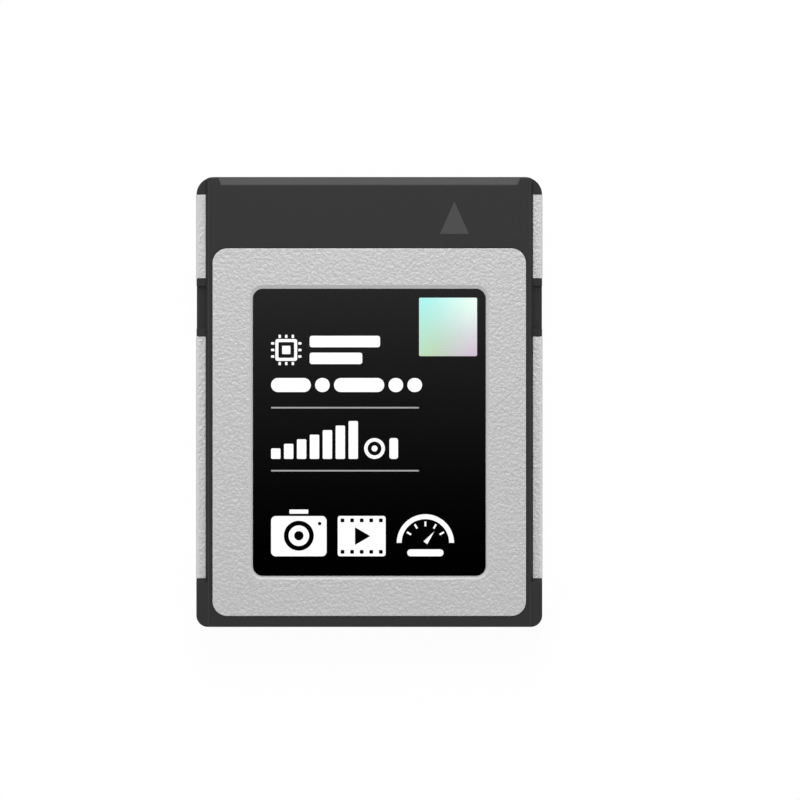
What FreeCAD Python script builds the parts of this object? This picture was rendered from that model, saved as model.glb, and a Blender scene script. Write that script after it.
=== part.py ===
import FreeCAD, Part
import math
import os

from FreeCAD import Vector

# A slim memory card for cameras, lying on its back with the label side up.
# X runs across the card, Y towards the end that goes into the slot, Z through its thickness.
# The origin is the centre of the back face. All sizes are in millimetres.
# The card is a moulded frame closed by a flush front plate and by a folded sheet back cover, whose
# flanges wrap the two guide rails. Inside, a circuit board carries the chips, and a connector with
# twenty contacts looks out of a mouth in the frame's end wall.

# Whole card
frame_width = 29.6
card_length = 38.5
card_thickness = 3.8
front_corner_radius = 1.5
tail_corner_radius = 1.0

# Frame moulding
frame_face_drop = 0.1        # the moulding's front face lies this far under the front plate's face
rail_height = 2.7            # top of the guide rails above the back face
rail_width = 0.8             # from the moulding's side face in to the foot of the step
step_lean = 0.21             # the step's wall leans in by this much up to the front face
edge_round = 0.12            # moulded outer edges
back_edge_round = 0.2
end_wall = 0.8               # wall at the insertion end, around the connector mouth
shoulder_drop = 0.04         # tail shoulders lie this far under the moulding's front face
shoulder_ramp = 0.32         # length of the shoulder's sloping front
shoulder_gap = 0.04          # between the back cover's flange and the shoulder's foot

# Lead-in bevels at the insertion end
bevel_length = 0.67
bevel_drop = 0.45
bevel_width = 26.0           # along the insertion edge
bevel_end_slant = 0.28       # each end of the bevel closes in by this much
back_bevel = 0.3

# Insertion arrow, sunk into the moulding's front band
arrow_width = 2.6
arrow_length = 2.9
arrow_offset_x = 7.28
arrow_from_end = 1.99        # from the insertion edge to the arrow's point
arrow_depth = 0.04

# Latch notches in both guide rails
notch_from_end = 11.15       # from the insertion edge to the notch's middle
notch_window = 5.02          # gap in the back cover's flange
notch_length = 3.68
notch_depth = 0.35           # below the rail's top
notch_inset = 0.08           # in from the rail's side face
notch_side_low = 0.6         # the side recess ends this far above the back face

# Front plate and its adhesive film
side_band = 1.39             # moulding left showing beside the plate
front_band = 6.11            # moulding left showing at the insertion end
tail_band = 0.93             # moulding left showing at the tail
plate_thickness = 0.3
plate_corner_radius = 1.25
plate_edge_round = 0.07
seat_gap = 0.04              # around the plate in its seat
seat_width = 0.85            # the seat reaches this far in under the plate's edge
film_thickness = 0.05
film_setback = 0.1           # the film ends this far short of the cavity

# Label and its coined pocket in the plate
label_margin = 3.45          # from the plate's edge to the label's edge
label_corner_radius = 0.85
label_thickness = 0.05
pocket_depth = 0.06
pocket_gap = 0.06            # around the label at the pocket's floor
pocket_wall_run = 0.18       # the pocket's wall slopes out by this much

# Back cover, folded from sheet
sheet = 0.2
flange_proud = 0.03          # the flanges stand this far out of the moulding's side
bend_radius = 0.25           # outside of the bends
bend_inner_radius = 0.05
rail_core_chamfer = 0.06     # clears the inside of the bends
lip_gap = 0.02               # between a lip's edge and the foot of the step
flange_from_end = 1.5        # from the insertion edge
flange_from_tail = 4.16      # from the tail edge
cover_gap = 0.03             # around the cover in the moulding
cover_corner_radius = 1.2

# Circuit board
board_height = 1.35          # board's underside above the back face
board_thickness = 0.6
board_gap = 0.1              # around the board in the cavity
board_ledge = 0.5            # the cavity is narrower by this much under the board
board_corner_radius = 0.6
cavity_corner_radius = 0.6
locating_rib_radius = 0.5
locating_rib_gap = 0.08
locating_rib_y = 1.0

# Connector
contact_pitch = 1.0
contact_width = 0.4
contact_thickness = 0.15
contact_margin = 1.25        # least space beside the outermost contacts in the mouth
contact_nose = 0.1           # bevel on a contact's tip
long_contact_setback = 0.3   # from the housing's mouth
short_contact_setback = 0.8
contact_tail = 1.1           # reach under the board
channel_depth = 0.1
channel_gap = 0.02
bay_inset = 0.52             # the connector's bay is narrower than the cavity by this much a side
bay_cover = 0.6              # the moulding's wall over the connector
housing_gap = 0.05
housing_floor = 0.5          # under the channels
housing_roof = 0.35
housing_side_wall = 1.0
housing_rear_wall = 1.4
mouth_corner_radius = 0.15
mouth_lead_in = 0.2
ear_width = 1.0
ear_length = 1.75
peg_radius = 0.35
peg_height = 0.45
peg_gap = 0.05
peg_setback = 0.7            # from an ear's end to its peg

# Chip packages: length along X, length along Y, height
flash_size = (18.0, 12.0)
flash_front_height = 1.0
flash_back_height = 0.8
flash_margin = 0.8           # from the board's tail edge
controller_size = (11.0, 7.0)
controller_height = 0.9
controller_margin = 1.35     # from the board's side edge
buffer_size = (10.0, 7.5)
buffer_height = 0.75
power_chip_size = (3.0, 3.0)
power_chip_height = 0.8
boot_chip_size = (3.0, 2.0)
boot_chip_height = 0.6
package_chamfer = 0.08
pin_mark_radius = 0.25
pin_mark_depth = 0.05
pin_mark_inset = 0.7
pad_inset = 0.5              # thermal pads stop this far inside a package's edge
pad_corner_radius = 0.4

# Small components
crystal_size = (2.0, 1.6)
crystal_height = 0.6
crystal_lid_inset = 0.15
crystal_lid_height = 0.15
inductor_size = (2.5, 2.0)
inductor_height = 0.9
inductor_corner_radius = 0.35
inductor_margin = 1.8        # from the board's side edge
inductor_pitch = 2.5
bulk_size = (1.6, 0.8)
bulk_height = 0.8
bulk_pitch = 2.2
row_cap_size = (1.0, 0.5)
row_cap_height = 0.5
row_cap_margin = 0.85        # from the board's insertion edge
row_cap_side_margin = 1.4    # from the board's side edges
row_cap_pitch = 1.9
resistor_size = (0.6, 0.3)
resistor_height = 0.25
resistor_pitch = 1.1
spacing_margin = 0.5         # left free at each end of a row of components
terminal_length_share = 0.25 # each end terminal's share of a chip component's length
terminal_proud = 0.02

# Places that several pieces share
half_width = frame_width / 2
end_y = card_length / 2
tail_y = -card_length / 2
frame_face = card_thickness - frame_face_drop
step_foot = half_width - rail_width
step_head = step_foot - step_lean
shell_x = half_width + flange_proud
rail_core_x = shell_x - sheet
lip_x = step_foot + lip_gap
flange_end_y = end_y - flange_from_end
flange_tail_y = tail_y + flange_from_tail
notch_y = end_y - notch_from_end
shoulder_y = flange_tail_y - shoulder_gap
shoulder_top = frame_face - shoulder_drop

plate_x = half_width - side_band
plate_end_y = end_y - front_band
plate_tail_y = tail_y + tail_band
plate_under = card_thickness - plate_thickness
seat_floor = plate_under - film_thickness
pocket_floor = card_thickness - pocket_depth

cavity_x = plate_x - seat_width
cavity_end_y = plate_end_y - seat_width
cavity_tail_y = plate_tail_y + seat_width
board_x = cavity_x - board_gap
board_end_y = cavity_end_y - board_gap
board_tail_y = cavity_tail_y + board_gap
board_top = board_height + board_thickness

channel_floor = board_height - contact_thickness
mouth_floor = channel_floor + channel_depth
bay_x = cavity_x - bay_inset
bay_roof = frame_face - bay_cover
housing_x = bay_x - housing_gap
housing_bottom = channel_floor - housing_floor
housing_top = bay_roof - housing_gap
housing_end_y = end_y - end_wall
housing_rear_y = cavity_end_y
mouth_roof = housing_top - housing_roof
mouth_x = housing_x - housing_side_wall
contact_spaces = math.floor((2 * (mouth_x - contact_margin) - contact_width) / contact_pitch)
contact_start_y = housing_rear_y - contact_tail
peg_x = housing_x - ear_width / 2
peg_y = housing_rear_y - ear_length + peg_setback

cover_x = plate_x
cover_tail_y = plate_tail_y

flash_y = board_tail_y + flash_margin + flash_size[1] / 2
flash_end_y = flash_y + flash_size[1] / 2
row_cap_y = board_end_y - row_cap_margin - row_cap_size[1] / 2
row_tail_y = row_cap_y - row_cap_size[1] / 2
controller_x = controller_margin + controller_size[0] / 2 - board_x
controller_y = (flash_end_y + row_tail_y) / 2
buffer_y = (flash_end_y + contact_start_y) / 2
inductor_x = board_x - inductor_margin - inductor_size[0] / 2
column_low_x = controller_x + controller_size[0] / 2
column_high_x = inductor_x - inductor_size[0] / 2
column_x = (column_low_x + column_high_x) / 2

far = card_length            # reaches past the card in any direction


# Outlines and solids

def place(plane, a, b, c):
    """A point of a drawing in the named plane, at distance c along the plane's normal."""
    if plane == "XY":
        return Vector(a, b, c)
    if plane == "XZ":
        return Vector(a, c, b)
    return Vector(c, a, b)


def corner_arc(before, corner, after, radius):
    """The start, middle and end of the round that blends two straight edges at a corner."""
    back = Vector(before[0] - corner[0], before[1] - corner[1], 0).normalize()
    ahead = Vector(after[0] - corner[0], after[1] - corner[1], 0).normalize()
    half_angle = back.getAngle(ahead) / 2
    reach = radius / math.tan(half_angle)
    inward = (back + ahead).normalize()
    tip = Vector(corner[0], corner[1], 0)
    middle = tip + inward * (radius / math.sin(half_angle) - radius)
    return tip + back * reach, middle, tip + ahead * reach


def outline(points, radii, plane="XY", at=0.0):
    """A closed wire through the points, with each corner rounded by its own radius."""
    count = len(points)
    edges = []
    first = None
    last = None
    for i in range(count):
        if radii[i] > 0:
            start, middle, end = corner_arc(points[i - 1], points[i], points[(i + 1) % count], radii[i])
            arc = [place(plane, p.x, p.y, at) for p in (start, middle, end)]
        else:
            arc = [place(plane, points[i][0], points[i][1], at)]
        if last is not None:
            edges.append(Part.makeLine(last, arc[0]))
        if len(arc) == 3:
            edges.append(Part.Arc(*arc).toShape())
        first = first or arc[0]
        last = arc[-1]
    edges.append(Part.makeLine(last, first))
    return Part.Wire(edges)


def prism(points, radii, plane, start, end):
    """The outline extruded from start to end along the plane's normal."""
    face = Part.Face(outline(points, radii, plane, start))
    return face.extrude(place(plane, 0, 0, end - start))


def rounded_slab(x_low, x_high, y_low, y_high, tail_radius, end_radius, z_low, z_high):
    """A flat slab with one radius at its tail corners and one at its insertion corners."""
    points = [(x_low, y_low), (x_high, y_low), (x_high, y_high), (x_low, y_high)]
    radii = [tail_radius, tail_radius, end_radius, end_radius]
    return prism(points, radii, "XY", z_low, z_high)


def block(x_low, x_high, y_low, y_high, z_low, z_high):
    return Part.makeBox(x_high - x_low, y_high - y_low, z_high - z_low, Vector(x_low, y_low, z_low))


def both_sides(shape):
    """The shape and its mirror image on the card's other side."""
    return [shape, shape.mirror(Vector(0, 0, 0), Vector(1, 0, 0))]


def flange_spans():
    """The two stretches of each guide rail that the back cover's flange wraps."""
    window_low = notch_y - notch_window / 2
    window_high = notch_y + notch_window / 2
    return [(flange_tail_y, window_low), (window_high, flange_end_y)]


# Frame

def frame_blank():
    """The moulding's outer form: the stepped section, inside the plan outline and the side outline."""
    section_half = [
        (half_width, 0, back_edge_round),
        (half_width, rail_height, edge_round),
        (step_foot, rail_height, 0),
        (step_head, frame_face, edge_round),
    ]
    section = section_half + [(-x, z, r) for x, z, r in reversed(section_half)]
    stepped = prism([p[:2] for p in section], [p[2] for p in section], "XZ", tail_y, end_y)

    shoulder = prism(
        [(tail_y, 0), (shoulder_y, 0), (shoulder_y, rail_height),
         (shoulder_y - shoulder_ramp, shoulder_top), (tail_y, shoulder_top)],
        [back_edge_round, 0, 0, 0, edge_round], "YZ", -half_width, half_width)
    shoulder_section = prism(
        [(half_width, 0), (half_width, shoulder_top), (-half_width, shoulder_top), (-half_width, 0)],
        [back_edge_round, edge_round, edge_round, back_edge_round], "XZ", tail_y, end_y)

    plan = rounded_slab(-half_width, half_width, tail_y, end_y,
                        tail_corner_radius, front_corner_radius, 0, frame_face)
    side = prism(
        [(tail_y, 0), (end_y, 0), (end_y, frame_face), (tail_y, frame_face)],
        [back_edge_round, 0, edge_round, edge_round], "YZ", -half_width, half_width)
    blank = stepped.fuse(shoulder.common(shoulder_section))
    return blank.common(plan).common(side)


def rail_groove(y_low, y_high):
    """What the moulding gives up, on one side, to the flange that wraps its rail."""
    under_lip = rail_height - sheet
    points = [
        (cover_x, -far), (far, -far), (far, far), (step_foot, far), (step_foot, under_lip),
        (rail_core_x - rail_core_chamfer, under_lip), (rail_core_x, under_lip - rail_core_chamfer),
        (rail_core_x, sheet + rail_core_chamfer), (rail_core_x - rail_core_chamfer, sheet), (cover_x, sheet),
    ]
    return prism(points, [0] * len(points), "XZ", y_low - cover_gap, y_high + cover_gap)


def latch_notch():
    """The recess in one guide rail: sunk from the rail's top, and a little way in from its side."""
    low = notch_y - notch_length / 2
    high = notch_y + notch_length / 2
    sunk = block(step_foot, far, low, high, rail_height - notch_depth, far)
    side = block(half_width - notch_inset, far, low, high, notch_side_low, far)
    return sunk.fuse(side)


def lead_in_bevel():
    """The sloping cut along the front of the insertion edge, closed in at both ends."""
    half = bevel_width / 2
    plan = prism(
        [(-half + bevel_end_slant, end_y - bevel_length), (half - bevel_end_slant, end_y - bevel_length),
         (half, end_y), (half, far), (-half, far), (-half, end_y)],
        [0] * 6, "XY", 0, far)
    slope = prism(
        [(end_y - bevel_length, frame_face), (end_y, frame_face - bevel_drop),
         (far, frame_face - bevel_drop), (far, far), (end_y - bevel_length, far)],
        [0] * 5, "YZ", -half_width, half_width)
    return plan.common(slope)


def back_lead_in():
    points = [
        (end_y - back_bevel, 0), (end_y - back_bevel, -far), (far, -far), (far, back_bevel),
        (end_y, back_bevel),
    ]
    return prism(points, [0] * len(points), "YZ", -half_width, half_width)


def insertion_arrow(z_low, z_high):
    point_y = end_y - arrow_from_end
    base_y = point_y - arrow_length
    return prism(
        [(arrow_offset_x - arrow_width / 2, base_y), (arrow_offset_x + arrow_width / 2, base_y),
         (arrow_offset_x, point_y)],
        [0] * 3, "XY", z_low, z_high)


def frame_mouth():
    """The opening in the end wall, flared on its outer edge."""
    low = mouth_floor - housing_gap
    high = mouth_roof + housing_gap
    half = mouth_x + housing_gap
    straight = prism(
        [(-half, low), (half, low), (half, high), (-half, high)],
        [mouth_corner_radius] * 4, "XZ", housing_end_y, end_y)
    inner = outline([(-half, low), (half, low), (half, high), (-half, high)],
                    [mouth_corner_radius] * 4, "XZ", end_y - mouth_lead_in)
    grown = half + mouth_lead_in
    outer = outline(
        [(-grown, low - mouth_lead_in), (grown, low - mouth_lead_in),
         (grown, high + mouth_lead_in), (-grown, high + mouth_lead_in)],
        [mouth_corner_radius] * 4, "XZ", end_y)
    return straight.fuse(Part.makeLoft([inner, outer], True, True))


def frame():
    body = frame_blank()
    seat_x = plate_x + seat_gap
    seat_radius = plate_corner_radius + seat_gap
    seat = rounded_slab(-seat_x, seat_x, plate_tail_y - seat_gap, plate_end_y + seat_gap,
                        seat_radius, seat_radius, seat_floor, far)
    upper_cavity = rounded_slab(-cavity_x, cavity_x, cavity_tail_y, cavity_end_y,
                                cavity_corner_radius, cavity_corner_radius, board_height, seat_floor)
    lower_x = cavity_x - board_ledge
    lower_cavity = rounded_slab(-lower_x, lower_x, cavity_tail_y + board_ledge, cavity_end_y,
                                cavity_corner_radius, 0, 0, board_height)
    bay = block(-bay_x, bay_x, cavity_end_y, housing_end_y, housing_bottom, bay_roof)
    web_recess = rounded_slab(-cover_x - cover_gap, cover_x + cover_gap, cover_tail_y - cover_gap,
                              flange_end_y + cover_gap, cover_corner_radius, 0, -far, sheet)
    cutters = [seat, upper_cavity, lower_cavity, bay, web_recess, frame_mouth(),
               lead_in_bevel(), back_lead_in(), insertion_arrow(frame_face - arrow_depth, far)]
    for low, high in flange_spans():
        cutters += both_sides(rail_groove(low, high))
    cutters += both_sides(latch_notch())
    body = body.cut(cutters)

    rib = Part.makeCylinder(locating_rib_radius, seat_floor - board_height,
                            Vector(cavity_x, locating_rib_y, board_height))
    return body.fuse(both_sides(rib)).removeSplitter()


# Covers and label

def front_plate():
    plate = rounded_slab(-plate_x, plate_x, plate_tail_y, plate_end_y,
                         plate_corner_radius, plate_corner_radius, plate_under, card_thickness)
    rim = [e for e in plate.Edges if e.BoundBox.ZMin > card_thickness - plate_thickness / 2]
    plate = plate.makeFillet(plate_edge_round, rim)
    return plate.cut(label_pocket())


def label_pocket():
    """The coined pocket: a flat floor and a wall that slopes out to the plate's face."""
    def edge(grow, z):
        x = plate_x - label_margin + grow
        low = plate_tail_y + label_margin - grow
        high = plate_end_y - label_margin + grow
        radius = label_corner_radius + grow
        return outline([(-x, low), (x, low), (x, high), (-x, high)], [radius] * 4, "XY", z)
    return Part.makeLoft(
        [edge(pocket_gap, pocket_floor), edge(pocket_gap + pocket_wall_run, card_thickness)], True, True)


def label():
    x = plate_x - label_margin
    low_y = plate_tail_y + label_margin
    high_y = plate_end_y - label_margin
    return rounded_slab(-x, x, low_y, high_y, label_corner_radius, label_corner_radius,
                        pocket_floor, pocket_floor + label_thickness)


def plate_adhesive():
    """The ring of film that bonds the plate to its seat."""
    outer = rounded_slab(-plate_x, plate_x, plate_tail_y, plate_end_y,
                         plate_corner_radius, plate_corner_radius, seat_floor, plate_under)
    x = cavity_x + film_setback
    inner = rounded_slab(-x, x, cavity_tail_y - film_setback, cavity_end_y + film_setback,
                         cavity_corner_radius, cavity_corner_radius, seat_floor, plate_under)
    return outer.cut(inner)


def cover_flange(y_low, y_high):
    """One flange in section: out from the web, up the card's side and in over the rail."""
    points = [
        (cover_x, 0, 0), (shell_x, 0, bend_radius), (shell_x, rail_height, bend_radius),
        (lip_x, rail_height, 0), (lip_x, rail_height - sheet, 0),
        (rail_core_x, rail_height - sheet, bend_inner_radius), (rail_core_x, sheet, bend_inner_radius),
        (cover_x, sheet, 0),
    ]
    return prism([p[:2] for p in points], [p[2] for p in points], "XZ", y_low, y_high)


def back_cover():
    web = rounded_slab(-cover_x, cover_x, cover_tail_y, flange_end_y, cover_corner_radius, 0, 0, sheet)
    flanges = []
    for low, high in flange_spans():
        flanges += both_sides(cover_flange(low, high))
    return web.fuse(flanges).removeSplitter()


# Connector

def contact_places():
    """The X of each contact, with true for the ones that mate first."""
    first = -contact_spaces / 2 * contact_pitch
    return [(first + i * contact_pitch, i % 3 == 0) for i in range(contact_spaces + 1)]


def connector_housing():
    body = block(-housing_x, housing_x, housing_rear_y, housing_end_y, housing_bottom, housing_top)
    mouth = prism(
        [(-mouth_x, mouth_floor), (mouth_x, mouth_floor), (mouth_x, mouth_roof), (-mouth_x, mouth_roof)],
        [mouth_corner_radius] * 4, "XZ", housing_rear_y + housing_rear_wall, housing_end_y)
    channel_half = contact_width / 2 + channel_gap
    channels = [
        block(x - channel_half, x + channel_half, housing_rear_y, housing_end_y, channel_floor,
              board_height + channel_gap)
        for x, first_mate in contact_places()
    ]
    ear = block(housing_x - ear_width, housing_x, housing_rear_y - ear_length, housing_rear_y,
                housing_bottom, board_height)
    peg = Part.makeCylinder(peg_radius, peg_height, Vector(peg_x, peg_y, board_height))
    return body.cut([mouth] + channels).fuse(both_sides(ear) + both_sides(peg)).removeSplitter()


def contact(x, setback):
    """One contact: a flat blade in its channel, bevelled at the tip, with its tail under the board."""
    tip_y = housing_end_y - setback
    points = [
        (contact_start_y, channel_floor), (tip_y, channel_floor),
        (tip_y, board_height - contact_nose), (tip_y - contact_nose, board_height),
        (contact_start_y, board_height),
    ]
    return prism(points, [0] * len(points), "YZ", x - contact_width / 2, x + contact_width / 2)


def ground_contacts():
    return Part.Compound([
        contact(x, long_contact_setback) for x, first_mate in contact_places() if first_mate])


def signal_contacts():
    return Part.Compound([
        contact(x, short_contact_setback) for x, first_mate in contact_places() if not first_mate])


# Board and what it carries

def circuit_board():
    board = rounded_slab(-board_x, board_x, board_tail_y, board_end_y,
                         board_corner_radius, board_corner_radius, board_height, board_top)
    rib_notch = Part.makeCylinder(locating_rib_radius + locating_rib_gap, board_thickness,
                                  Vector(cavity_x, locating_rib_y, board_height))
    peg_hole = Part.makeCylinder(peg_radius + peg_gap, board_thickness, Vector(peg_x, peg_y, board_height))
    return board.cut(both_sides(rib_notch) + both_sides(peg_hole))


def package(size, centre, height, on_front):
    """A moulded chip package with bevelled edges and a pin-one dimple, on the board's front or back."""
    x, y = centre
    dx, dy = size[0] / 2, size[1] / 2
    low, high = (board_top, board_top + height) if on_front else (board_height - height, board_height)
    outer = high if on_front else low
    body = block(x - dx, x + dx, y - dy, y + dy, low, high)
    rim = [e for e in body.Edges if abs(e.BoundBox.Center.z - outer) < package_chamfer]
    body = body.makeChamfer(package_chamfer, rim)
    mark_z = outer - pin_mark_depth if on_front else outer
    mark = Part.makeCylinder(pin_mark_radius, pin_mark_depth,
                             Vector(x - dx + pin_mark_inset, y + dy - pin_mark_inset, mark_z))
    return body.cut(mark)


def thermal_pad(size, centre, z_low, z_high):
    x, y = centre
    dx, dy = size[0] / 2 - pad_inset, size[1] / 2 - pad_inset
    return rounded_slab(x - dx, x + dx, y - dy, y + dy, pad_corner_radius, pad_corner_radius, z_low, z_high)


def chip_component(size, height, x, y):
    """A ceramic chip component: a block with a slightly larger metal terminal at each end."""
    dx, dy = size[0] / 2, size[1] / 2
    terminal = size[0] * terminal_length_share
    body = block(x - dx, x + dx, y - dy + terminal_proud, y + dy - terminal_proud,
                 board_top, board_top + height - terminal_proud)
    ends = [
        block(x - dx, x - dx + terminal, y - dy, y + dy, board_top, board_top + height),
        block(x + dx - terminal, x + dx, y - dy, y + dy, board_top, board_top + height),
    ]
    return body.fuse(ends).removeSplitter()


def clock_crystal(x, y):
    dx, dy = crystal_size[0] / 2, crystal_size[1] / 2
    base_top = board_top + crystal_height - crystal_lid_height
    base = block(x - dx, x + dx, y - dy, y + dy, board_top, base_top)
    lid = rounded_slab(x - dx + crystal_lid_inset, x + dx - crystal_lid_inset,
                       y - dy + crystal_lid_inset, y + dy - crystal_lid_inset,
                       crystal_lid_inset, crystal_lid_inset, base_top, board_top + crystal_height)
    return base.fuse(lid).removeSplitter()


def power_inductor(x, y):
    dx, dy = inductor_size[0] / 2, inductor_size[1] / 2
    return rounded_slab(x - dx, x + dx, y - dy, y + dy, inductor_corner_radius, inductor_corner_radius,
                        board_top, board_top + inductor_height)


def evenly_filled(low, high, length, pitch, margin):
    """The middles of as many pieces, at the given pitch, as fit between two edges."""
    count = math.floor((high - low - 2 * margin - length) / pitch) + 1
    middle = (low + high) / 2
    return [middle + (i - (count - 1) / 2) * pitch for i in range(count)]


def column_places():
    """The middle Y of each piece in the column beside the controller, evenly spaced up the board."""
    lengths = {
        "resistors": resistor_size[1],
        "crystal": crystal_size[1],
        "boot": boot_chip_size[1],
        "power": power_chip_size[1],
        "bulk": bulk_size[1],
    }
    space = (row_tail_y - flash_end_y - sum(lengths.values())) / (len(lengths) + 1)
    places = {}
    y = flash_end_y
    for name, length in lengths.items():
        places[name] = y + space + length / 2
        y += space + length
    return places


def chip_resistors(y):
    places = evenly_filled(column_low_x, column_high_x, resistor_size[0], resistor_pitch, spacing_margin)
    return Part.Compound([chip_component(resistor_size, resistor_height, x, y) for x in places])


def bulk_capacitors(y):
    places = evenly_filled(column_low_x, column_high_x, bulk_size[0], bulk_pitch, spacing_margin)
    return Part.Compound([chip_component(bulk_size, bulk_height, x, y) for x in places])


def row_capacitors():
    """The capacitors along the board's insertion edge."""
    places = evenly_filled(-board_x, board_x, row_cap_size[0], row_cap_pitch, row_cap_side_margin)
    return Part.Compound([chip_component(row_cap_size, row_cap_height, x, row_cap_y) for x in places])


def power_inductors():
    places = evenly_filled(flash_end_y, row_tail_y, inductor_size[1], inductor_pitch, spacing_margin)
    return Part.Compound([power_inductor(inductor_x, y) for y in places])


column = column_places()
flash_at = (0.0, flash_y)
controller_at = (controller_x, controller_y)
buffer_at = (controller_x, buffer_y)
power_chip_at = (column_x, column["power"])
boot_chip_at = (column_x, column["boot"])

pieces = {
    "frame": frame(),
    "front_plate": front_plate(),
    "plate_adhesive": plate_adhesive(),
    "label": label(),
    "back_cover": back_cover(),
    "connector_housing": connector_housing(),
    "ground_contacts": ground_contacts(),
    "signal_contacts": signal_contacts(),
    "circuit_board": circuit_board(),
    "controller_chip": package(controller_size, controller_at, controller_height, True),
    "flash_chip_front": package(flash_size, flash_at, flash_front_height, True),
    "flash_chip_back": package(flash_size, flash_at, flash_back_height, False),
    "buffer_memory_chip": package(buffer_size, buffer_at, buffer_height, False),
    "power_chip": package(power_chip_size, power_chip_at, power_chip_height, True),
    "boot_memory_chip": package(boot_chip_size, boot_chip_at, boot_chip_height, True),
    "clock_crystal": clock_crystal(column_x, column["crystal"]),
    "power_inductors": power_inductors(),
    "bulk_capacitors": bulk_capacitors(column["bulk"]),
    "row_capacitors": row_capacitors(),
    "chip_resistors": chip_resistors(column["resistors"]),
    "thermal_pad_controller": thermal_pad(
        controller_size, controller_at, board_top + controller_height, plate_under),
    "thermal_pad_flash_front": thermal_pad(
        flash_size, flash_at, board_top + flash_front_height, plate_under),
    "thermal_pad_flash_back": thermal_pad(
        flash_size, flash_at, sheet, board_height - flash_back_height),
    "thermal_pad_buffer": thermal_pad(
        buffer_size, buffer_at, sheet, board_height - buffer_height),
}

os.makedirs("parts", exist_ok=True)
for name, shape in pieces.items():
    shape.exportStep(f"parts/{name}.step")
    print(f"{name}: {len(shape.Solids)} solid(s), {shape.Volume:.2f} cubic mm, valid {shape.isValid()}")
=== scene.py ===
# %% [markdown]
# # A slim camera memory card
#
# The card is a dark moulded frame with a blasted steel plate let into its face, a black printed label
# in a shallow pocket of that plate, and a folded steel back cover whose edges wrap the two guide rails.
# Its solids come ready made and stay where they are. This file gives every one of them its finish,
# adds what is printed on it, and lights it softly for a camera that looks straight down.

import math

import bmesh
import bpy
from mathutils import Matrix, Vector


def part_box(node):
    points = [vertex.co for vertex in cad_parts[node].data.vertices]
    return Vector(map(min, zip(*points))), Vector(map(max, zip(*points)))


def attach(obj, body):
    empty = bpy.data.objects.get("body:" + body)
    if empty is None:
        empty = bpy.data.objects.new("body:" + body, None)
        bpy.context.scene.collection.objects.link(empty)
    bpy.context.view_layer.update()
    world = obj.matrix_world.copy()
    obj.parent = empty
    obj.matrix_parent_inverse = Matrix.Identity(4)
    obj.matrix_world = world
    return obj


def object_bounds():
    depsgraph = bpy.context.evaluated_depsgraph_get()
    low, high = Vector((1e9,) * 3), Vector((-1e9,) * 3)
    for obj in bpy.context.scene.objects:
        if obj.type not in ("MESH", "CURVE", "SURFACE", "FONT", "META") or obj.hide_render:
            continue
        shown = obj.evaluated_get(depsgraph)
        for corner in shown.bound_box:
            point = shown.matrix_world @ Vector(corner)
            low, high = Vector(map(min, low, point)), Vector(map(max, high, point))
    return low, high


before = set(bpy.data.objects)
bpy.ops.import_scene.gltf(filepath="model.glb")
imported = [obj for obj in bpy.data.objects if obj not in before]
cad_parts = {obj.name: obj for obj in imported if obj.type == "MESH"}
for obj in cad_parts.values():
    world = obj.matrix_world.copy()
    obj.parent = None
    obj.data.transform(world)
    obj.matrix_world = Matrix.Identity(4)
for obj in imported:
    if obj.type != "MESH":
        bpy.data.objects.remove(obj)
solids_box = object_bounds()
MM = 0.001

for name in sorted(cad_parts):
    low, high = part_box(name)
    size = [round((high[i] - low[i]) / MM, 2) for i in range(3)]
    print(f"{name}: {size} mm")

# %% [markdown]
# ## A short way to write materials
#
# Every finish here is a node graph: noise, a few sums, and one shader. Adding nodes by hand takes three
# lines each, so a small class does it in one. Textures read the object's own coordinates, turned into
# millimetres, because no piece has a UV map and a grain is easiest to judge at its real size.

# %% The graph helper
NOISE_RANGE = (0.3, 0.7)


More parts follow.
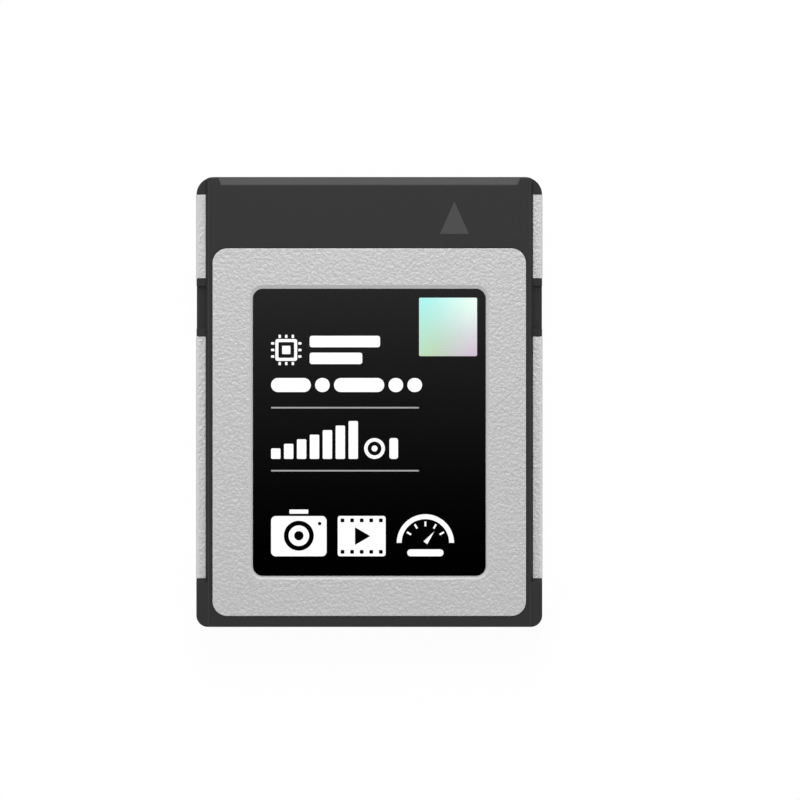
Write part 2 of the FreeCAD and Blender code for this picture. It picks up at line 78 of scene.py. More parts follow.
class Finish:
    """A material's node graph, written one call per node."""

    def __init__(self, name):
        self.material = bpy.data.materials.new(name)
        self.material.use_nodes = True
        self.tree = self.material.node_tree
        self.shader = self.tree.nodes["Principled BSDF"]
        coordinates = self.tree.nodes.new("ShaderNodeTexCoord")
        self.place = self.vector("MULTIPLY", coordinates.outputs["Object"], (1 / MM, 1 / MM, 1 / MM))
        self.x, self.y, self.z = self.split(self.place)
        self.facing_up = self.split(coordinates.outputs["Normal"])[2]

    def add(self, kind, inputs, **settings):
        node = self.tree.nodes.new(kind)
        for key, value in settings.items():
            setattr(node, key, value)
        for key, value in inputs.items():
            self.feed(node.inputs[key], value)
        return node

    def feed(self, socket, value):
        if isinstance(value, bpy.types.NodeSocket):
            self.tree.links.new(value, socket)
        else:
            socket.default_value = value

    def split(self, vector):
        return self.add("ShaderNodeSeparateXYZ", {"Vector": vector}).outputs

    def math(self, operation, *values, clamp=False):
        node = self.add("ShaderNodeMath", dict(enumerate(values)), operation=operation, use_clamp=clamp)
        return node.outputs[0]

    def vector(self, operation, *values):
        node = self.add("ShaderNodeVectorMath", dict(enumerate(values)), operation=operation)
        return node.outputs[0]

    def noise(self, per_mm, detail=2.0, roughness=0.5, place=None):
        inputs = {"Vector": place or self.place, "Scale": per_mm, "Detail": detail, "Roughness": roughness}
        return self.add("ShaderNodeTexNoise", inputs).outputs["Fac"]

    def ramp(self, value, low, high, to_low, to_high):
        inputs = {
            "Value": value, "From Min": low, "From Max": high, "To Min": to_low, "To Max": to_high,
        }
        return self.add("ShaderNodeMapRange", inputs).outputs["Result"]

    def spread(self, noise, to_low, to_high):
        """Maps the range that a noise mostly keeps to onto the one that is wanted."""
        return self.ramp(noise, *NOISE_RANGE, to_low, to_high)

    def mix(self, share, a, b):
        """A colour between a and b."""
        node = self.tree.nodes.new("ShaderNodeMix")
        node.data_type = "RGBA"
        colours = [socket for socket in node.inputs if socket.type == "RGBA"]
        self.feed(node.inputs["Factor"], share)
        self.feed(colours[0], a)
        self.feed(colours[1], b)
        return [socket for socket in node.outputs if socket.type == "RGBA"][0]

    def bump(self, height, depth_mm, strength=1.0, normal=None):
        inputs = {"Height": height, "Distance": depth_mm * MM, "Strength": strength}
        if normal is not None:
            inputs["Normal"] = normal
        return self.add("ShaderNodeBump", inputs).outputs["Normal"]

    def shade(self, **inputs):
        """Sets the shader's sockets: names are the socket's own, with _ for a space."""
        for key, value in inputs.items():
            self.feed(self.shader.inputs[key.replace("_", " ")], value)
        return self.material


def grey(level):
    return (level, level, level, 1.0)


def dress(material, *nodes):
    """Gives solids of the card a finish."""
    for node in nodes:
        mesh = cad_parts[node].data
        mesh.materials.clear()
        mesh.materials.append(material)
    print(f"{material.name}: {', '.join(nodes)}")


# %% [markdown]
# ## Blasted steel
#
# The face plate and the back cover are thin stainless sheet, blasted with fine beads before it is cut
# and folded. Close up, the surface is a field of small shallow dimples, three or four to the millimetre.
# Colour alone would look like a stain, because a real dimple shows by catching the light on one side. So
# the noise goes mostly into the bump, and only a little of it into the colour.
# Round the label the plate is pressed down. The die smooths the metal there, so a mask in the shape of
# the pocket, a rounded rectangle, takes the grain away and softens the wall's edges. The pocket is also
# painted a little brighter, as a painted sheen. The plate's outer rim, found by its height just below the
# face, is painted brighter, as a painted highlight.

# %% Steel finish
PLATE_STEEL = 0.392
COVER_STEEL = 0.442
DIMPLES_PER_MM = 3.3
SPARKLE_PER_MM = 8.5
DIMPLE_STRETCH = (1.2, 1.12, 1.1)
DIMPLE_DEPTH_MM = 0.077
DIMPLE_SHARE, SPARKLE_SHARE = 0.8, 0.2
GRAIN_RANGE = (0.35, 0.65)
COLOUR_SWAY = 0.05
STEEL_ROUGHNESS = (0.48, 0.6)
LABEL_CORNER_MM = 0.85
POCKET_SOFT_MM = 0.2
POCKET_EDGE_MM = (0.2, 0.3)
# painted sheen: how much brighter the smoothed pocket is painted than the blasted steel
POCKET_PAINTED_SHEEN, POCKET_ROUGHNESS = 1.14, 0.78
RIM_DROP_MM = (0.02, 0.002)
# painted highlight: how much brighter the plate's outer rim is painted than the steel
RIM_PAINTED_HIGHLIGHT = 1.15
label_low, label_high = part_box("label")


def pocket_mask(finish):
    """1 in the label's pocket and on its wall, 0 on the rest of the plate."""
    squares = []
    for axis, place in enumerate((finish.x, finish.y)):
        middle = (label_low[axis] + label_high[axis]) / 2 / MM
        straight = (label_high[axis] - label_low[axis]) / 2 / MM - LABEL_CORNER_MM
        from_middle = finish.math("ABSOLUTE", finish.math("SUBTRACT", place, middle))
        past_straight = finish.math("MAXIMUM", finish.math("SUBTRACT", from_middle, straight), 0.0)
        squares.append(finish.math("POWER", past_straight, 2.0))
    from_corner_centre = finish.math("SQRT", finish.math("ADD", *squares))
    low, high = (LABEL_CORNER_MM + edge for edge in POCKET_EDGE_MM)
    return finish.ramp(from_corner_centre, low, high, 1.0, 0.0)


def blasted_steel(name, steel):
    """The finish, with its grain, so that a piece can add to it."""
    finish = Finish(name)
    stretched = finish.vector("MULTIPLY", finish.place, DIMPLE_STRETCH)
    dimples = finish.noise(DIMPLES_PER_MM, 2.0, 0.5, stretched)
    sparkle = finish.noise(SPARKLE_PER_MM, 1.0, 0.5, stretched)
    coarse = finish.math("MULTIPLY", dimples, DIMPLE_SHARE)
    fine = finish.math("MULTIPLY", sparkle, SPARKLE_SHARE)
    grain = finish.math("ADD", coarse, fine)
    shine = finish.ramp(grain, *GRAIN_RANGE, 0.0, 1.0)
    colour = finish.mix(shine, grey(steel * (1 - COLOUR_SWAY)), grey(steel * (1 + COLOUR_SWAY)))
    roughness = finish.spread(sparkle, *STEEL_ROUGHNESS)
    return finish, grain, colour, roughness


def cover_steel():
    """Blasted steel all over."""
    finish, grain, colour, roughness = blasted_steel("cover_steel", COVER_STEEL)
    return finish.shade(
        Base_Color=colour, Metallic=1.0, Roughness=roughness, Normal=finish.bump(grain, DIMPLE_DEPTH_MM))


def plate_steel(face):
    """Blasted steel with a smooth soft pocket painted a little brighter as a painted sheen, and a rim painted
    brighter as a painted highlight, for a plate whose face is this high.
    """
    finish, grain, colour, roughness = blasted_steel("plate_steel", PLATE_STEEL)
    rim = finish.ramp(finish.z, face - RIM_DROP_MM[0], face - RIM_DROP_MM[1], 1.0, 0.0)
    pocket = pocket_mask(finish)
    radius = finish.math("MULTIPLY", pocket, POCKET_SOFT_MM * MM)
    softened = finish.add("ShaderNodeBevel", {"Radius": radius}, samples=4).outputs["Normal"]
    # painted highlight: the band just below the face is painted brighter than the steel
    colour = finish.mix(rim, colour, grey(PLATE_STEEL * RIM_PAINTED_HIGHLIGHT))
    return finish.shade(
        # painted sheen: the pocket and its wall are painted brighter than the rest of the plate
        Base_Color=finish.mix(pocket, colour, grey(PLATE_STEEL * POCKET_PAINTED_SHEEN)),
        Metallic=1.0,
        Roughness=finish.ramp(pocket, 0.0, 1.0, roughness, POCKET_ROUGHNESS),
        Normal=finish.bump(
            finish.math("MULTIPLY", grain, finish.math("SUBTRACT", 1.0, pocket)),
            DIMPLE_DEPTH_MM, normal=softened),
    )


plate_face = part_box("front_plate")[1][2] / MM
dress(plate_steel(plate_face), "front_plate")
dress(cover_steel(), "back_cover")

# %% [markdown]
# ## The moulded frame
#
# The frame is glass-filled plastic, almost black, from a tool with a fine spark texture. That texture is
# far too small to see as bumps from a step away, and shows only as an even, slightly soft grey. The steep
# walls are painted blacker than the faces, as painted shade. The sloping edge at the insertion end is
# polished, so that it slides in easily. It mirrors what stands behind the card, and reads as one paler strip.
# A rounded edge catches light where a knife edge can't, so the shader rounds the sharp edges by a few
# hundredths of a millimetre, as any moulding tool does. The last millimetre at the insertion end is
# rounded more, because that is where a hand guides the card into its slot.

# %% Moulded plastic
FACE_GREY = 0.0105
# painted shade: steep walls are painted this darker grey than the faces
WALL_PAINTED_SHADE_GREY = 0.006
CONNECTOR_SHARE = 0.5
WALL_ROUGHNESS, FACE_ROUGHNESS, SLOPE_ROUGHNESS = 0.85, 0.45, 0.28
WALL_TO_FACE, SLOPE_TO_FACE = (0.25, 0.75), (0.90, 0.98)
SPARK_PER_MM, SPARK_DEPTH_MM = 14.0, 0.006
FLOW_PER_MM, FLOW_SWAY = 0.22, 0.04
EDGE_ROUND_MM, FRONT_ROUND_MM = 0.03, 0.2
FRONT_ZONE_MM = (1.0, 0.9)
front_edge = solids_box[1][1] / MM


def moulded_plastic(name, face, wall):
    """Plastic whose faces get the face grey and whose steep walls get the darker wall grey, as painted shade.
    """
    finish = Finish(name)
    spark = finish.noise(SPARK_PER_MM, 3.0, 0.6)
    flow = finish.spread(finish.noise(FLOW_PER_MM), 1 - FLOW_SWAY, 1 + FLOW_SWAY)
    level_share = finish.ramp(finish.facing_up, *WALL_TO_FACE, 0.0, 1.0)
    # painted shade: the grey falls from the face grey to the wall grey where the surface turns steep
    level = finish.math("MULTIPLY", finish.ramp(level_share, 0.0, 1.0, wall, face), flow)
    colour = finish.add("ShaderNodeCombineXYZ", {0: level, 1: level, 2: level}).outputs[0]
    polish = finish.ramp(finish.facing_up, *SLOPE_TO_FACE, SLOPE_ROUGHNESS, FACE_ROUGHNESS)
    zone = [front_edge - distance for distance in FRONT_ZONE_MM]
    radius = finish.ramp(finish.y, *zone, EDGE_ROUND_MM * MM, FRONT_ROUND_MM * MM)
    softened = finish.add("ShaderNodeBevel", {"Radius": radius}, samples=4)
    return finish.shade(
        Base_Color=colour,
        Roughness=finish.ramp(level_share, 0.0, 1.0, WALL_ROUGHNESS, polish),
        Specular_IOR_Level=0.25,
        Normal=finish.bump(spark, SPARK_DEPTH_MM, 0.5, softened.outputs["Normal"]),
    )


dress(moulded_plastic("frame_moulding", FACE_GREY, WALL_PAINTED_SHADE_GREY), "frame")
dress(moulded_plastic("connector_moulding", FACE_GREY * CONNECTOR_SHARE, WALL_PAINTED_SHADE_GREY), "connector_housing")

# %% [markdown]
# ## The label
#
# The label is matt black film. Its colour is painted dark grey at the insertion end and fades to full
# black towards the tail, as a painted sheen, so the colour follows the label's own length.

# %% Label film
# painted sheen: the film goes from the tail grey up to a lighter grey at the insertion end
LABEL_TAIL_GREY, LABEL_END_SHEEN_GREY = 0.0002, 0.0180
LABEL_SHEEN_FADE = 1.85
label_face = label_high.z


def label_film():
    finish = Finish("label_film")
    along = finish.ramp(finish.y, label_low.y / MM, label_high.y / MM, 0.0, 1.0)
    # painted sheen: how the painted lightness falls off from the insertion end towards the tail
    sheen_fade = finish.math("POWER", along, LABEL_SHEEN_FADE)
    tooth = finish.noise(9.0)
    return finish.shade(
        # painted sheen: the film is painted lighter towards the insertion end
        Base_Color=finish.mix(sheen_fade, grey(LABEL_TAIL_GREY), grey(LABEL_END_SHEEN_GREY)),
        Roughness=finish.spread(tooth, 0.5, 0.6),
        Specular_IOR_Level=0.0,
        Normal=finish.bump(tooth, 0.003, 0.4),
    )


dress(label_film(), "label")

# %% [markdown]
# ## Inside the card
#
# None of the inner pieces shows while the card is shut, but each has its finish all the same: green solder
# mask on the board, black resin on the chips, soft grey silicone for the pads.

# %% Board, chips, pads and film
def solder_mask():
    finish = Finish("solder_mask")
    weave = finish.add("ShaderNodeTexBrick", {
        "Vector": finish.place, "Scale": 1.0, "Mortar Size": 0.04, "Brick Width": 1.3, "Row Height": 0.42,
        "Color1": (0.010, 0.085, 0.035, 1), "Color2": (0.012, 0.105, 0.045, 1),
        "Mortar": (0.02, 0.16, 0.07, 1),
    })
    return finish.shade(
        Base_Color=weave.outputs["Color"],
        Roughness=finish.spread(finish.noise(3.0), 0.28, 0.4),
        Normal=finish.bump(weave.outputs["Fac"], 0.01, 0.4),
    )


def moulded_resin():
    finish = Finish("chip_resin")
    grain = finish.noise(12.0, 3.0, 0.6)
    return finish.shade(
        Base_Color=finish.mix(grain, grey(0.018), grey(0.032)),
        Roughness=finish.spread(grain, 0.55, 0.7),
        Normal=finish.bump(grain, 0.008, 0.4),
    )


def silicone():
    finish = Finish("thermal_silicone")
    filler = finish.noise(6.0, 3.0, 0.65)
    return finish.shade(
        Base_Color=finish.mix(filler, (0.33, 0.38, 0.46, 1), (0.46, 0.51, 0.59, 1)),
        Roughness=finish.spread(filler, 0.6, 0.8),
        Normal=finish.bump(filler, 0.02, 0.3),
    )


def adhesive_film():
    finish = Finish("adhesive_film")
    haze = finish.noise(4.0)
    return finish.shade(
        Base_Color=finish.mix(haze, grey(0.02), grey(0.035)),
        Roughness=finish.spread(haze, 0.3, 0.45),
    )


dress(solder_mask(), "circuit_board")
dress(moulded_resin(), "controller_chip", "flash_chip_front", "flash_chip_back", "buffer_memory_chip",
      "power_chip", "boot_memory_chip")
dress(silicone(), "thermal_pad_controller", "thermal_pad_flash_front", "thermal_pad_flash_back",
      "thermal_pad_buffer")
dress(adhesive_film(), "plate_adhesive")

# %% [markdown]
# ## Contacts and small components
#
# The contacts are rolled copper alloy with gold on it, so their noise is stretched along their length.
# Capacitors and resistors stand in rows, each a ceramic body with a tinned cap at both ends. One material
# paints a whole row: it folds the long way of the row into one component's length, and anything near the
# end of that length is tin.

# %% Metals and ferrite
def gold_plating():
    finish = Finish("gold_plating")
    along = finish.vector("MULTIPLY", finish.place, (9.0, 0.6, 3.0))
    rolled = finish.noise(1.0, 3.0, 0.6, along)
    return finish.shade(
        Base_Color=finish.mix(rolled, (0.80, 0.56, 0.22, 1), (0.92, 0.68, 0.32, 1)),
        Metallic=1.0,
        Roughness=finish.spread(rolled, 0.18, 0.3),
        Normal=finish.bump(rolled, 0.004, 0.4),
    )


def pressed_ferrite():
    finish = Finish("pressed_ferrite")
    powder = finish.noise(10.0, 3.0, 0.7)
    return finish.shade(
        Base_Color=finish.mix(powder, grey(0.09), grey(0.17)),
        Roughness=finish.spread(powder, 0.5, 0.7),
        Normal=finish.bump(powder, 0.01, 0.5),
    )


def plated_lid():
    finish = Finish("crystal_lid")
    haze = finish.noise(5.0)
    return finish.shade(
        Base_Color=finish.mix(haze, (0.61, 0.60, 0.57, 1), (0.72, 0.70, 0.66, 1)),
        Metallic=1.0,
        Roughness=finish.spread(haze, 0.22, 0.34),
    )


dress(gold_plating(), "ground_contacts", "signal_contacts")
dress(pressed_ferrite(), "power_inductors")
dress(plated_lid(), "clock_crystal")

# %% Rows of tinned components
TIN = (0.72, 0.71, 0.68, 1)
TERMINAL_SHARE = 0.25
TAN_CERAMIC = (0.36, 0.24, 0.14, 1), (0.52, 0.38, 0.25, 1)
BLACK_GLAZE = grey(0.02), grey(0.035)


def tinned_row(name, node, length, count, body_dark, body_light):
    """Finish for a row along X of equal components, each with a tinned cap at both ends."""
    low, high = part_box(node)
    start, width = low[0] / MM, (high[0] - low[0]) / MM
    pitch = (width - length) / (count - 1)
    finish = Finish(name)
    from_first = finish.math("SUBTRACT", finish.x, start + (length - pitch) / 2)
    in_pitch = finish.math("FLOORED_MODULO", from_first, pitch)
    from_middle = finish.math("ABSOLUTE", finish.math("SUBTRACT", in_pitch, pitch / 2))
    tinned = finish.math("GREATER_THAN", from_middle, length * (0.5 - TERMINAL_SHARE))
    speckle = finish.noise(11.0, 2.0, 0.6)
    ceramic = finish.mix(speckle, body_dark, body_light)
    finish.shade(
        Base_Color=finish.mix(tinned, ceramic, TIN),
        Metallic=tinned,
        Roughness=finish.spread(speckle, 0.32, 0.48),
        Normal=finish.bump(speckle, 0.006, 0.4),
    )
    dress(finish.material, node)
    print(f"{node}: {count} pieces, {pitch:.2f} mm apart")


tinned_row("bulk_ceramic", "bulk_capacitors", 1.6, 3, *TAN_CERAMIC)
tinned_row("row_ceramic", "row_capacitors", 1.0, 12, *TAN_CERAMIC)
tinned_row("resistor_glaze", "chip_resistors", 0.6, 7, *BLACK_GLAZE)

# %% [markdown]
# ## Drawing print
#
# Screen-printed ink is a thin flat layer with crisp edges. A filled 2D curve makes that directly: each
# outline is a closed spline, an outline inside another becomes a hole, and a little extrusion gives the
# ink its thickness. The curve is then turned into a mesh and its walls are welded to its faces. Outlines
# are polygons in millimetres, with their corners rounded by a formula.

# %% Outlines
ARC_STEPS, CIRCLE_STEPS, DOT_STEPS = 8, 48, 24


def arc(centre, radius, start, end, steps=ARC_STEPS):
    """Points along an arc, angles in degrees."""
    points = []
    for i in range(steps + 1):
        angle = math.radians(start + (end - start) * i / steps)
        points.append((centre[0] + radius * math.cos(angle), centre[1] + radius * math.sin(angle)))
    return points


def circle(x, y, radius, steps=CIRCLE_STEPS):
    return arc((x, y), radius, 0, 360, steps)[:-1]


def rounded_box(x_low, x_high, y_low, y_high, radius):
    corners = [
        (x_high - radius, y_high - radius, 0), (x_low + radius, y_high - radius, 90),
        (x_low + radius, y_low + radius, 180), (x_high - radius, y_low + radius, 270),
    ]
    points = []
    for x, y, start in corners:
        points += arc((x, y), radius, start, start + 90)
    return points


# %% From outlines to a layer
WELD = 1e-7


def print_layer(name, outlines, bottom, thickness):
    """A flat layer with these outlines, lying at the given height."""
    curve = bpy.data.curves.new(name, "CURVE")
    curve.dimensions = "2D"
    curve.fill_mode = "BOTH"
    curve.extrude = thickness / 2
    for outline in outlines:
        spline = curve.splines.new("POLY")
        spline.points.add(len(outline) - 1)
        for point, (x, y) in zip(spline.points, outline):
            point.co = (x * MM, y * MM, 0, 1)
        spline.use_cyclic_u = True
    pattern = bpy.data.objects.new(name, curve)
    bpy.context.scene.collection.objects.link(pattern)
    bpy.context.view_layer.update()
    mesh = bpy.data.meshes.new_from_object(pattern)
    bpy.data.objects.remove(pattern)
    bpy.data.curves.remove(curve)
    solid = bmesh.new()
    solid.from_mesh(mesh)
    bmesh.ops.remove_doubles(solid, verts=solid.verts, dist=WELD)
    bmesh.ops.translate(solid, verts=solid.verts, vec=(0, 0, bottom + thickness / 2))
    bmesh.ops.recalc_face_normals(solid, faces=solid.faces)
    solid.to_mesh(mesh)
    solid.free()
    piece = bpy.data.objects.new(name, mesh)
    bpy.context.scene.collection.objects.link(piece)
    return piece


def add_print(name, outlines, material, bottom, thickness):
    piece = print_layer(name, outlines, bottom, thickness)
    piece.data.materials.append(material)
    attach(piece, "root")
    print(f"{name}: {len(outlines)} outlines, {len(piece.data.polygons)} faces")


# %% [markdown]
# ## What is printed on the label
#
# The print is plain shapes only: a chip mark with two bars beside it, a line of pills, two thin rules,
# level bars with a ring and a small block, and three small marks along the bottom for a still camera,
# moving film and speed. They keep the left margin and the rough weight that such a label has. The ink is
# white, and the rules are printed thinner, so they look grey.

# %% Ink
INK_MM = 0.008
MARGIN_X = -8.40


def ink(name, level):
    finish = Finish(name)
    cover = finish.noise(8.0)
    return finish.shade(
        Base_Color=finish.mix(cover, grey(level * 0.97), grey(level)),
        Roughness=finish.spread(cover, 0.5, 0.6),
        Specular_IOR_Level=0.25,
    )


white_ink = ink("white_ink", 0.96)
rule_ink = ink("rule_ink", 0.34)


def label_print(name, outlines, material=white_ink):
    add_print(name, outlines, material, label_face, INK_MM * MM)


# %% Rules
RULE_END_X = 4.25
RULE_WIDTH, RULE_CORNER = 0.13, 0.05
for name, y in (("label_rule_upper", -0.49), ("label_rule_lower", -5.88)):
    rule = rounded_box(MARGIN_X, RULE_END_X, y - RULE_WIDTH / 2, y + RULE_WIDTH / 2, RULE_CORNER)
    label_print(name, [rule], rule_ink)

# %% Chip mark
HEADER_LOW, HEADER_HIGH = 3.15, 5.75
CHIP_BAND, CHIP_WINDOW = 0.28, 0.38
PIN_GAP, PIN_LENGTH, PIN_HALF_WIDTH, PIN_PITCH = 0.09, 0.3, 0.11, 0.6


def chip_mark(x, y, half):
    """A square with a window in it and three pins on each side, all in shares of half its width."""
    frame_width, window = half * CHIP_BAND, half * CHIP_WINDOW
    outlines = [rounded_box(x - half, x + half, y - half, y + half, 0.2),
                rounded_box(x - half + frame_width, x + half - frame_width,
                            y - half + frame_width, y + half - frame_width, 0.1),
                rounded_box(x - window, x + window, y - window, y + window, 0.08)]
    gap, pin, pin_half = half * PIN_GAP, half * PIN_LENGTH, half * PIN_HALF_WIDTH
    for i in (-1, 0, 1):
        at = i * half * PIN_PITCH
        for side in (-1, 1):
            near, far = sorted((side * (half + gap), side * (half + gap + pin)))
            outlines.append(rounded_box(x + near, x + far, y + at - pin_half, y + at + pin_half, 0.05))
            outlines.append(rounded_box(x + at - pin_half, x + at + pin_half, y + near, y + far, 0.05))
    return outlines


half_header = (HEADER_HIGH - HEADER_LOW) / 2
chip_x, chip_y = MARGIN_X + half_header, HEADER_LOW + half_header
chip_half = half_header / (1 + PIN_GAP + PIN_LENGTH)
label_print("label_chip_mark", chip_mark(chip_x, chip_y, chip_half))

# %% Header bars and a line of pills
HEADER_GAP = 0.7
HEADER_BARS = ((0.92, 4.68), (-0.6, 3.24))
HEADER_BAR_HEIGHT, HEADER_BAR_CORNER = 0.98, 0.2
PILL_WIDTHS, PILL_GAP = (3.4, 1.25, 4.3, 1.25, 1.25), 0.365
PILLS_LOW, PILLS_HIGH = 0.85, 2.05


def pills(x, widths, gap, low, high):
    """A row of round-ended bars."""
    outlines = []
    for width in widths:
        outlines.append(rounded_box(x, x + width, low, high, (high - low) / 2 * 0.98))
        x += width + gap
    return outlines


bars_x = chip_x + half_header + HEADER_GAP
label_print("label_header_bars", [
    rounded_box(bars_x, end, low, low + HEADER_BAR_HEIGHT, HEADER_BAR_CORNER) for end, low in HEADER_BARS
])
label_print("label_pills", pills(MARGIN_X, PILL_WIDTHS, PILL_GAP, PILLS_LOW, PILLS_HIGH))

# %% Level bars and a ring
LEVEL_LOW, LEVEL_HIGH = -4.87, -1.63
LEVEL_COUNT, LEVEL_END_X, LEVEL_GAP, FIRST_LEVEL = 7, -0.97, 0.3, 0.9
RING_X, RING_RADIUS, RING_BAND, RING_DOT = 0.45, 0.89, 0.3, 0.26
BLOCK_X, BLOCK_CORNER = (1.72, 2.46), 0.2


def level_bars(count, x_low, x_high, gap, first):
    """Upright bars that grow step by step from the first height to the full height."""
    pitch = (x_high - x_low + gap) / count
    bars = []
    for i in range(count):
        height = first + (LEVEL_HIGH - LEVEL_LOW - first) * i / (count - 1)
        left = x_low + i * pitch
        bars.append(rounded_box(left, left + pitch - gap, LEVEL_LOW, LEVEL_LOW + height, 0.1))
    return bars


label_print("label_level_bars", level_bars(LEVEL_COUNT, MARGIN_X, LEVEL_END_X, LEVEL_GAP, FIRST_LEVEL))
ring_y = LEVEL_LOW + RING_RADIUS
label_print("label_ring", [
    circle(RING_X, ring_y, RING_RADIUS),
    circle(RING_X, ring_y, RING_RADIUS - RING_BAND),
    circle(RING_X, ring_y, RING_DOT, DOT_STEPS),
    rounded_box(*BLOCK_X, LEVEL_LOW, LEVEL_LOW + 2 * RING_RADIUS, BLOCK_CORNER),
])

# %% Camera, film and speed marks
MARKS_LOW = -13.2
CAMERA_SIZE = (4.75, 4.0)
FILM_X, FILM_SIZE = -2.7, (4.1, 3.45)
DIAL_X, DIAL_LIFT, DIAL_RADIUS, DIAL_RIM, NEEDLE_DEGREES = 2.35, 1.15, 2.45, 0.42, 52
DIAL_FOOT_X, DIAL_FOOT_HEIGHT, DIAL_FOOT_CORNER = (3.25, 6.35), 0.6, 0.29


def camera_mark(x, low, width, height):
    """A camera body with its lens, finder hump and button."""
    lens_x, lens_y = x + width / 2, low + height * 0.44
    return [rounded_box(x, x + width, low, low + height * 0.86, 0.4),
            rounded_box(x + width * 0.33, x + width * 0.67, low + height * 0.91, low + height, 0.07),
            circle(lens_x, lens_y, height * 0.32),
            circle(lens_x, lens_y, height * 0.22),
            circle(lens_x, lens_y, height * 0.10),
            circle(x + width - 0.6, low + height * 0.70, 0.15, 20)]


def film_mark(x, low, width, height):
    """A frame of film with its sprocket holes and a play triangle."""
    outlines = [rounded_box(x, x + width, low, low + height, 0.2)]
    holes, hole, edge = 5, 0.32, 0.22
    pitch = width / holes
    for i in range(holes):
        left = x + (i + 0.5) * pitch - hole / 2
        outlines.append(rounded_box(left, left + hole, low + edge, low + edge + hole, 0.06))
        outlines.append(rounded_box(left, left + hole, low + height - edge - hole, low + height - edge, 0.06))
    middle, reach = low + height / 2, height * 0.22
    left, right = x + width * 0.36, x + width * 0.68
    outlines.append([(left, middle - reach), (right, middle), (left, middle + reach)])
    return outlines


def dial_mark(x, low, radius, rim, needle_angle):
    """Half a dial: a rim, ticks inside it and a needle."""
    centre = Vector((x + radius, low))
    outlines = [arc(centre, radius, 0, 180, 32) + arc(centre, radius - rim, 180, 0, 32)]
    for degrees in range(30, 180, 30):
        along = Vector((math.cos(math.radians(degrees)), math.sin(math.radians(degrees))))
        across = along.orthogonal() * 0.08
        inner, outer = centre + along * (radius - rim - 0.62), centre + along * (radius - rim - 0.2)
        outlines.append([tuple(p) for p in (inner - across, outer - across, outer + across, inner + across)])
    along = Vector((math.cos(math.radians(needle_angle)), math.sin(math.radians(needle_angle))))
    across = along.orthogonal() * 0.2
    tip = centre + along * (radius - rim - 0.8)
    outlines.append([tuple(p) for p in (centre - across, centre + across, tip)])
    return outlines


label_print("label_camera_mark", camera_mark(MARGIN_X, MARKS_LOW, *CAMERA_SIZE))
label_print("label_film_mark", film_mark(FILM_X, MARKS_LOW, *FILM_SIZE))
dial = dial_mark(DIAL_X, MARKS_LOW + DIAL_LIFT, DIAL_RADIUS, DIAL_RIM, NEEDLE_DEGREES)
dial.append(rounded_box(*DIAL_FOOT_X, MARKS_LOW, MARKS_LOW + DIAL_FOOT_HEIGHT, DIAL_FOOT_CORNER))
label_print("label_dial_mark", dial)

# %% [markdown]
# ## The foil patch
#
# A small square of diffraction foil sits near the label's corner. Real foil shifts from cyan through green
# to lilac across its width. Here the colours are set out across the patch as two blends, and a slow noise
# bends them so that no straight bands show. Fine embossed rings give it the depth of pressed foil.

# %% Foil
FOIL_X = (4.26, 9.22)
FOIL_Y = (3.92, 8.92)
FOIL_MM, FOIL_CORNER = 0.01, 0.12
FOIL_SWAY = 0.2
CYAN = (0.335, 0.785, 0.775, 1)
GREEN = (0.44, 0.655, 0.41, 1)
PEARL = (0.75, 0.92, 0.80, 1)
LILAC = (0.58, 0.44, 0.585, 1)


def foil_finish():
    finish = Finish("iridescent_foil")
    sway = finish.ramp(finish.noise(0.25, 1.0), 0.0, 1.0, -FOIL_SWAY, FOIL_SWAY)
    across = finish.math("ADD", finish.ramp(finish.x, *FOIL_X, 0, 1), sway, clamp=True)
    up = finish.math("ADD", finish.ramp(finish.y, *FOIL_Y, 0, 1), sway, clamp=True)
    rings = finish.add("ShaderNodeTexWave", {"Vector": finish.place, "Scale": 1.6}, wave_type="RINGS")
    return finish.shade(
        Base_Color=finish.mix(up, finish.mix(across, GREEN, LILAC), finish.mix(across, CYAN, PEARL)),
        Metallic=0.6,
        Roughness=0.3,
        Normal=finish.bump(rings.outputs["Fac"], 0.002),
    )


add_print("label_foil", [rounded_box(*FOIL_X, *FOIL_Y, FOIL_CORNER)], foil_finish(),
          label_face, FOIL_MM * MM)

# %% [markdown]
# ## The insertion arrow
#
# The arrow is sunk into the frame's front band and filled with grey ink, just below the surface.

# %% Arrow
ARROW_TIP = (7.28, 17.26)
ARROW_LENGTH = 2.9
ARROW_WIDTH = 2.6
ARROW_FLOOR_MM = 3.66
ARROW_INK_MM = 0.015
ARROW_INSET = 0.04
ARROW_GREY = 0.047
arrow_low = ARROW_TIP[1] - ARROW_LENGTH + ARROW_INSET / 2
arrow_half = ARROW_WIDTH / 2 - ARROW_INSET
add_print("arrow_print", [[
    (ARROW_TIP[0], ARROW_TIP[1] - ARROW_INSET),
    (ARROW_TIP[0] - arrow_half, arrow_low),
    (ARROW_TIP[0] + arrow_half, arrow_low),
]], ink("arrow_ink", ARROW_GREY), ARROW_FLOOR_MM * MM, ARROW_INK_MM * MM)

# %% [markdown]
# ## Floor and sky
#
# The card lies on plain white. The floor takes a soft shadow like any surface, and most of what the
# camera sees of it is its own white, so the picture stays clean around the card. The sky is the same
# white for the camera and in reflections. As a light it is well under half of that, because the lamps
# give the rest, and the two together leave each colour about as it is written above.

# %% Floor and sky
FLOOR_GREY = 0.95
FLOOR_OWN_WHITE = 0.965
FLOOR_HALF = 1.0
SKY_LIGHT = 0.42


def white_share(tree):
    """1 for camera, mirror and glass rays, else 0."""
    path = tree.nodes.new("ShaderNodeLightPath")
    total = path.outputs["Is Camera Ray"]
    for name in ("Is Glossy Ray", "Is Transmission Ray"):
        node = tree.nodes.new("ShaderNodeMath")
        node.operation = "MAXIMUM"
        tree.links.new(total, node.inputs[0])
        tree.links.new(path.outputs[name], node.inputs[1])
        total = node.outputs[0]
    return total


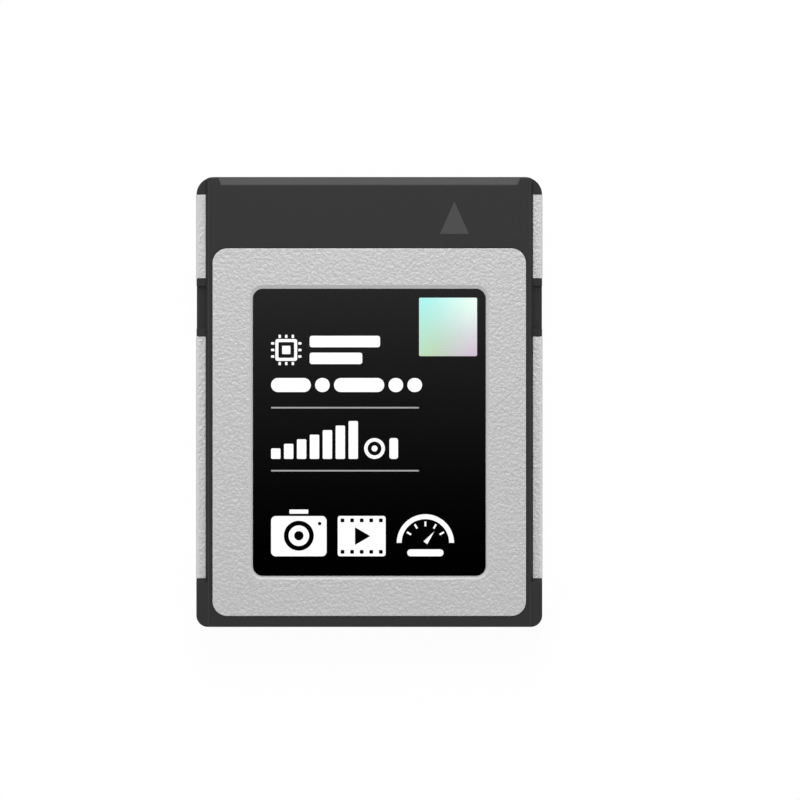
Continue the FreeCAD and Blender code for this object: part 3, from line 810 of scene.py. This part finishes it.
def make_floor():
    """A white square under the card, which shows a share of its own white and keeps the shadow."""
    h = FLOOR_HALF
    mesh = bpy.data.meshes.new("floor")
    mesh.from_pydata([(-h, -h, 0), (h, -h, 0), (h, h, 0), (-h, h, 0)], [], [(0, 1, 2, 3)])
    floor = bpy.data.objects.new("floor", mesh)
    bpy.context.scene.collection.objects.link(floor)
    finish = Finish("floor_white")
    finish.shade(Base_Color=grey(FLOOR_GREY), Roughness=0.9, Specular_IOR_Level=0.0)
    glow = finish.add("ShaderNodeEmission", {"Color": (1, 1, 1, 1), "Strength": 1.0})
    share = finish.math("MULTIPLY", white_share(finish.tree), FLOOR_OWN_WHITE)
    blend = finish.add("ShaderNodeMixShader", {0: share, 1: finish.shader.outputs[0], 2: glow.outputs[0]})
    finish.feed(finish.tree.nodes["Material Output"].inputs["Surface"], blend.outputs[0])
    mesh.materials.append(finish.material)


def make_sky():
    """A world that is white to look at, and dimmer as a light."""
    world = bpy.data.worlds.new("studio")
    bpy.context.scene.world = world
    world.use_nodes = True
    tree = world.node_tree
    level = tree.nodes.new("ShaderNodeMapRange")
    tree.links.new(white_share(tree), level.inputs["Value"])
    level.inputs["To Min"].default_value = SKY_LIGHT
    level.inputs["To Max"].default_value = 1.0
    background = tree.nodes["Background"]
    background.inputs["Color"].default_value = (1, 1, 1, 1)
    tree.links.new(level.outputs["Result"], background.inputs["Strength"])


make_floor()
make_sky()

# %% [markdown]
# ## Lamps
#
# A sky that is white all over shows no relief, so four panels do that. A small one hangs close above the
# insertion end: it falls off along the card, and its reflection picks out the steel's dimples. A larger
# one stands behind that end, where the sloping front edge mirrors it into the camera. One on each side
# lights the bends of the folded cover and the plate's two long rims.

# %% Lamps
def panel(name, place, size, radiance):
    """A rectangular lamp that faces the card and is this bright, where 1 is the sky's white."""
    data = bpy.data.lights.new(name, "AREA")
    data.shape = "RECTANGLE"
    data.size, data.size_y = size
    data.energy = radiance * math.pi * size[0] * size[1]
    lamp = bpy.data.objects.new(name, data)
    lamp.location = place
    lamp.rotation_euler = (-Vector(place)).to_track_quat("-Z", "Y").to_euler()
    bpy.context.scene.collection.objects.link(lamp)
    print(f"{name}: {data.energy:.3f} W")


panel("near_panel", (-0.002, 0.065, 0.12), (0.06, 0.05), 3.4)
panel("low_panel", (-0.01, 0.45, 0.31), (0.35, 0.32), 5.5)
panel("left_panel", (-0.42, 0.0, 0.20), (0.6, 0.3), 1.2)
panel("right_panel", (0.42, 0.0, 0.20), (0.6, 0.3), 1.2)

# %% [markdown]
# ## Camera
#
# A very long lens from straight above flattens the card as a product shot does. The card sits a little
# to the left of the picture's middle, so the camera stands that much to its right.

# %% Camera
PICTURE_PX = 800
PX_PER_MM = 11.69
CARD_MIDDLE_PX = (369.28, 401.97)
LENS = 600.0
CLIP_METRES = (0.01, 10.0)

picture_width = PICTURE_PX / PX_PER_MM * MM
camera_data = bpy.data.cameras.new("camera")
camera_data.lens = LENS
camera_data.clip_start, camera_data.clip_end = CLIP_METRES
distance = picture_width * LENS / camera_data.sensor_width
camera = bpy.data.objects.new("camera", camera_data)
camera.location = (
    (PICTURE_PX / 2 - CARD_MIDDLE_PX[0]) / PX_PER_MM * MM,
    (CARD_MIDDLE_PX[1] - PICTURE_PX / 2) / PX_PER_MM * MM,
    plate_face * MM + distance,
)
bpy.context.scene.collection.objects.link(camera)
bpy.context.scene.camera = camera
bpy.context.scene.view_settings.view_transform = "Standard"
print(f"camera {distance:.3f} m above the card's face")
